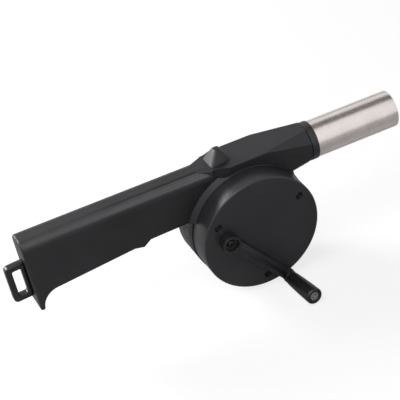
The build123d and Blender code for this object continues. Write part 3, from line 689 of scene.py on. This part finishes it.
def knobRings(size):
    k = {key: value * mm if key not in ("sides", "steps", "rings") else value for key, value in size.items()}
    rings = [(k["bore"], 0)]
    rings += arcRings(k["base"] - k["baseRound"], k["baseRound"], k["baseRound"], -90, 0, k["steps"])
    for n in range(1, k["rings"]):
        t = n / k["rings"]
        height = k["baseRound"] + t * (k["length"] - k["endRound"] - k["baseRound"])
        rings.append((k["base"] + (k["end"] - k["base"]) * t + k["belly"] * sin(pi * t), height))
    corner, throat = k["endRound"], k["recessRound"]
    rings += arcRings(k["end"] - corner, k["length"] - corner, corner, 0, 90, k["steps"])
    rings += arcRings(k["recess"] + throat, k["length"] - throat, throat, 90, 180, 3)
    rings += [(k["recess"], k["length"] - k["recessDeep"]), (k["bore"], k["length"] - k["recessDeep"])]
    return rings


crankKnob = turned("crankKnob", knobRings(knobSize), knobSize["sides"], closed=True)
applyPlace(crankKnob, alongAxis(jointAt["knob_spin"] + knobSize["start"] * mm * knobAxis, knobAxis))
smooth(crankKnob)
finish(crankKnob, knobPlastic, "knob", "knob_plastic", "crank_knob")
print("knob made")


# ------- screws: pan heads with a cross recess
def crossScrew(name, size):
    s = {key: value * mm for key, value in size.items() if key != "sides"}
    dome = []
    for angle in (15, 32, 50, 66, 78):
        height = s["headH"] * (0.45 + 0.55 * sin(radians(angle)))
        dome.append((s["headR"] * cos(radians(angle)), height))
    rings = [(s["shankR"] * 0.6, -s["shank"]), (s["shankR"], -s["shank"] + 0.6 * mm), (s["shankR"], 0)]
    rings += [(s["headR"] - 0.1 * mm, 0), (s["headR"], 0.12 * mm), (s["headR"], 0.35 * s["headH"])] + dome
    screw = turned(name, rings, size["sides"])
    # cross recess, two tapered blades taken out of the head
    for turn in (0, 90):
        clearSelection()
        bpy.ops.mesh.primitive_cube_add(size=1, location=(0, 0, s["headH"]))
        blade = bpy.context.object
        blade.scale = (s["crossLong"], s["crossWide"], 2 * s["crossDeep"])
        blade.rotation_euler = (0, 0, radians(turn))
        applyPlace(blade)
        selectWhere(blade, lambda face: face.normal.z < -0.9, "FACE")
        bpy.ops.transform.resize(value=(0.45, 0.45, 1), center_override=(0, 0, s["headH"] - s["crossDeep"]))
        bpy.ops.object.mode_set(mode="OBJECT")
        combine(screw, blade, "DIFFERENCE")
    smooth(screw, 40)
    return screw


def screwCopies(name, model, places):
    copies = []
    for place in places:
        one = model.copy()
        one.data = model.data.copy()
        bpy.context.scene.collection.objects.link(one)
        applyPlace(one, place)
        copies.append(one)
    bpy.data.objects.remove(model)
    return joinPieces(name, copies)


coverScrew = {
    "headR": 2.45, "headH": 2.0, "shankR": 1.3, "shank": 30.0, "crossLong": 3.0, "crossWide": 0.7,
    "crossDeep": 1.2, "sides": 40,
}
coverScrewCircle = {"radiusMm": 33.0, "first": 30, "count": 3, "sunkMm": 5.0, "turn": 20, "turnStep": 35}
screwPlaces = []
for n in range(coverScrewCircle["count"]):
    angle = radians(coverScrewCircle["first"] + 360 * n / coverScrewCircle["count"])
    spot = drumAxis + Vector((cos(angle), 0, sin(angle))) * coverScrewCircle["radiusMm"] * mm
    spot.y = coverFaceY + coverScrewCircle["sunkMm"] * mm
    turn = radians(coverScrewCircle["turn"] + coverScrewCircle["turnStep"] * n)
    screwPlaces.append(alongAxis(spot, Vector((0, -1, 0))) @ Matrix.Rotation(turn, 4, "Z"))
coverScrews = screwCopies("coverScrewSet", crossScrew("coverScrew", coverScrew), screwPlaces)
finish(coverScrews, zincSteel, "case", "screw_steel", "cover_screws")

handleScrewSpots = {"at": ((-58.0, 31.0), (-124.0, 28.0)), "seat": 6.1, "turn": 10, "turnStep": 50}
handleScrew = dict(coverScrew, shank=12.1)
screwPlaces = []
for n, (x, z) in enumerate(handleScrewSpots["at"]):
    spot = Vector((drumAxis.x + x * mm, handleScrewSpots["seat"] * mm, drumAxis.z + z * mm))
    turn = radians(handleScrewSpots["turn"] + handleScrewSpots["turnStep"] * n)
    screwPlaces.append(alongAxis(spot, Vector((0, 1, 0))) @ Matrix.Rotation(turn, 4, "Z"))
handleScrews = screwCopies("handleScrewSet", crossScrew("handleScrew", handleScrew), screwPlaces)
finish(handleScrews, zincSteel, "case", "screw_steel", "handle_screws")

# painted shade: the hub screw is given near black steel, standing in for the shade deep in the hub's recess
hubScrew = dict(coverScrew, shank=7.0, headH=1.6)
hubSpot = Vector(jointAt["crank_spin"])
hubSpot.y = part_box("crank_screw")[0].y + hubScrew["headH"] * mm
hubTurn = radians(33)
hubPlace = alongAxis(hubSpot, Vector((0, -1, 0))) @ Matrix.Rotation(hubTurn, 4, "Z")
finish(
    screwCopies("hubScrew", crossScrew("hubScrewOne", hubScrew), [hubPlace]),
    recessShadeScrewSteel, "crank", "screw_steel", "crank_screw",
)
print("screws made")

# ------- hanging loop: a rounded frame, its neck and foot held inside the handle's end
loopSize = {
    "reach": 12.6, "bar": 4.0, "rootBar": 2.6, "thick": 4.6, "height": 26.8, "cornerRound": 2.8,
    "holeRound": 1.2, "edgeRound": 0.7, "neck": 12.0, "neckLong": 4.4, "foot": 17.0, "footThick": 2.0,
    "gap": 0.1,
}
handleEnd = {"topX": -148.0, "lowX": -145.1, "topZ": 46.8, "lowZ": -5.2, "loopZ": 16.6}


def loopPlace():
    # origin on the slanted rear end, X leaves it, Z runs up it
    e = {key: value * mm for key, value in handleEnd.items()}
    share = (e["topZ"] - e["loopZ"]) / (e["topZ"] - e["lowZ"])
    spot = Vector((drumAxis.x + e["topX"] + (e["lowX"] - e["topX"]) * share, 0, drumAxis.z + e["loopZ"]))
    tilt = atan2(e["lowX"] - e["topX"], e["topZ"] - e["lowZ"])
    return Matrix.Translation(spot) @ Matrix.Rotation(pi - tilt, 4, "Y")


def makeLoop(size):
    half = size["thick"] / 2
    ring = block((size["gap"], -half, -size["height"] / 2), (size["reach"], half, size["height"] / 2))
    outer = size["reach"] * mm
    selectWhere(ring, lambda a, b: abs(a.y - b.y) > mm and a.x > outer - mm and b.x > outer - mm)
    bpy.ops.mesh.bevel(offset=size["cornerRound"] * mm, segments=6, affect="EDGES")
    bpy.ops.object.mode_set(mode="OBJECT")
    hole = block(
        (size["rootBar"], -size["thick"], -size["height"] / 2 + size["bar"]),
        (size["reach"] - size["bar"], size["thick"], size["height"] / 2 - size["bar"]),
    )
    selectWhere(hole, lambda a, b: abs(a.y - b.y) > mm)
    bpy.ops.mesh.bevel(offset=size["holeRound"] * mm, segments=5, affect="EDGES")
    bpy.ops.object.mode_set(mode="OBJECT")
    combine(ring, hole, "DIFFERENCE")
    applyModifier(
        ring, "BEVEL", width=size["edgeRound"] * mm, segments=3, limit_method="ANGLE",
        angle_limit=radians(50),
    )
    neckEnd = size["gap"] - size["neckLong"]
    neck = block((neckEnd, -half, -size["neck"] / 2), (size["gap"], half, size["neck"] / 2))
    foot = block((neckEnd - size["footThick"], -half, -size["foot"] / 2), (neckEnd, half, size["foot"] / 2))
    return joinPieces("hangLoop", [ring, neck, foot])


hangLoop = makeLoop(loopSize)
applyPlace(hangLoop, loopPlace())
smooth(hangLoop, 40)
finish(hangLoop, loopPlastic, "case", "loop_plastic", "hang_loop")
print("hanging loop made")

# ------- nodes that keep their own shape
finishes = {
    "crank_shaft": shaftSteel, "fan_shaft": shaftSteel,
    "first_axle": shaftSteel, "second_axle": shaftSteel,
    "crank_bush": bushMetal, "front_fan_bush": bushMetal, "rear_fan_bush": bushMetal,
    "crank_gear": gearPlastic, "first_gear": gearPlastic,
    "second_gear": gearPlastic, "fan_pinion": gearPlastic,
    "knob_screw": zincSteel, "impeller": fanPlastic,
}
for node, material in finishes.items():
    data = frame["nodes"][node].data
    data.materials.clear()
    data.materials.append(material)
print("inner pieces finished")

# ------- floor and background
studio = {
    "floorHalf": 6.0, "floorColour": "#f4f4f3", "shadowShare": 0.22,
    "worldColour": "#f2f3f6", "worldStrength": 0.36,
}
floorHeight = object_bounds()[0].z
clearSelection()
bpy.ops.mesh.primitive_plane_add(size=2 * studio["floorHalf"], location=(0, 0, floorHeight))
floor = bpy.context.object
floor.name = "floor"
applyPlace(floor)
paper, paperBsdf = newMaterial("matt_white_paper", Roughness=0.9)
paperBsdf.inputs["Base Color"].default_value = toLinear(studio["floorColour"])


def seenRays(material):
    # 1 for rays that see the background: from the camera, in a reflection or through glass
    path = addNode(material, "ShaderNodeLightPath")
    shown = addNode(
        material, "ShaderNodeMath", operation="MAXIMUM",
        links={0: path.outputs["Is Camera Ray"], 1: path.outputs["Is Glossy Ray"]},
    )
    return addNode(
        material, "ShaderNodeMath", operation="MAXIMUM",
        links={0: shown.outputs[0], 1: path.outputs["Is Transmission Ray"]},
    ).outputs[0]


glow = addNode(paper, "ShaderNodeEmission", sockets={"Color": (1, 1, 1, 1), "Strength": 1.0})
share = addNode(
    paper, "ShaderNodeMath", operation="MULTIPLY", sockets={1: 1 - studio["shadowShare"]},
    links={0: seenRays(paper)},
)
mixed = addNode(
    paper, "ShaderNodeMixShader",
    links={0: share.outputs[0], 1: paperBsdf.outputs[0], 2: glow.outputs[0]},
)
link(paper, mixed.outputs[0], paper.node_tree.nodes["Material Output"].inputs["Surface"])
floor.data.materials.append(paper)

world = bpy.data.worlds.new("studio")
bpy.context.scene.world = world
world.use_nodes = True
sky = world.node_tree.nodes["Background"]
sky.inputs["Color"].default_value = toLinear(studio["worldColour"])
strength = addNode(world, "ShaderNodeMapRange", links={"Value": seenRays(world)})
strength.inputs["To Min"].default_value = studio["worldStrength"]
strength.inputs["To Max"].default_value = 1.0
link(world, strength.outputs[0], sky.inputs["Strength"])

# ------- lamps: a large soft box above on the left, one behind on the left, a weak one from the front
middle = Vector((-0.13, -0.01, -0.02))
lamps = {
    "keyBox": {"from": (-0.55, -0.25, 1.1), "size": 0.8, "watts": 8.0},
    "rearBox": {"from": (-0.75, 0.95, 0.6), "size": 0.6, "watts": 19.0},
    "frontFill": {"from": (-0.1, -0.45, 0.4), "size": 0.25, "watts": 0.8},
}
for name, lamp in lamps.items():
    light = bpy.data.lights.new(name, "AREA")
    light.energy = lamp["watts"]
    light.size = lamp["size"]
    lampObject = bpy.data.objects.new(name, light)
    bpy.context.scene.collection.objects.link(lampObject)
    lampObject.location = middle + Vector(lamp["from"])
    lampObject.rotation_euler = Vector(lamp["from"]).to_track_quat("Z", "Y").to_euler()

# grey boards that the gloss of the plastic and the steel picks up, out of the picture
aboveFloor = floorHeight - middle.z + 0.3 * mm
boards = {
    "tableBoard": {"at": (0.0, -0.5, aboveFloor), "faces": (0, 0, 1), "size": (2.4, 1.3), "grey": "#a3a2a4"},
    "topBoard": {"at": (0.3, 0.28, 1.0), "faces": (0, 0, -1), "size": (1.6, 0.75), "grey": "#5d5a58"},
    "farBoard": {"at": (0.5, 1.3, 0.35), "faces": (0, -1, 0), "size": (2.4, 0.35), "grey": "#9c9895"},
}
for name, board in boards.items():
    clearSelection()
    bpy.ops.mesh.primitive_plane_add(size=1)
    sheet = bpy.context.object
    sheet.name = name
    sheet.scale = (*board["size"], 1)
    facing = Vector(board["faces"]).to_track_quat("Z", "Y").to_matrix().to_4x4()
    applyPlace(sheet)
    applyPlace(sheet, Matrix.Translation(middle + Vector(board["at"])) @ facing)
    paint, paintBsdf = newMaterial(name + "_card", Roughness=0.9)
    paintBsdf.inputs["Base Color"].default_value = toLinear(board["grey"])
    sheet.data.materials.append(paint)
    sheet.visible_camera = False
    sheet.visible_shadow = False
print("studio lit")

# ------- camera, looking down from behind the handle's end on the crank side, held at a slant
shot = {
    "place": (-0.40255, -0.72120, 0.53790), "azimuth": 20.02, "down": 35.63, "roll": -9.86,
    "lens": 135, "sensor": 36,
}
cameraData = bpy.data.cameras.new("camera")
cameraData.lens = shot["lens"]
cameraData.sensor_width = shot["sensor"]
camera = bpy.data.objects.new("camera", cameraData)
bpy.context.scene.collection.objects.link(camera)
facing = Euler((radians(90 - shot["down"]), 0, -radians(shot["azimuth"]))).to_matrix()
camera.matrix_world = Matrix.Translation(shot["place"]) @ (
    facing @ Matrix.Rotation(radians(shot["roll"]), 3, "Z")
).to_4x4()
bpy.context.scene.camera = camera
bpy.context.scene.view_settings.view_transform = "Standard"
print("camera set")
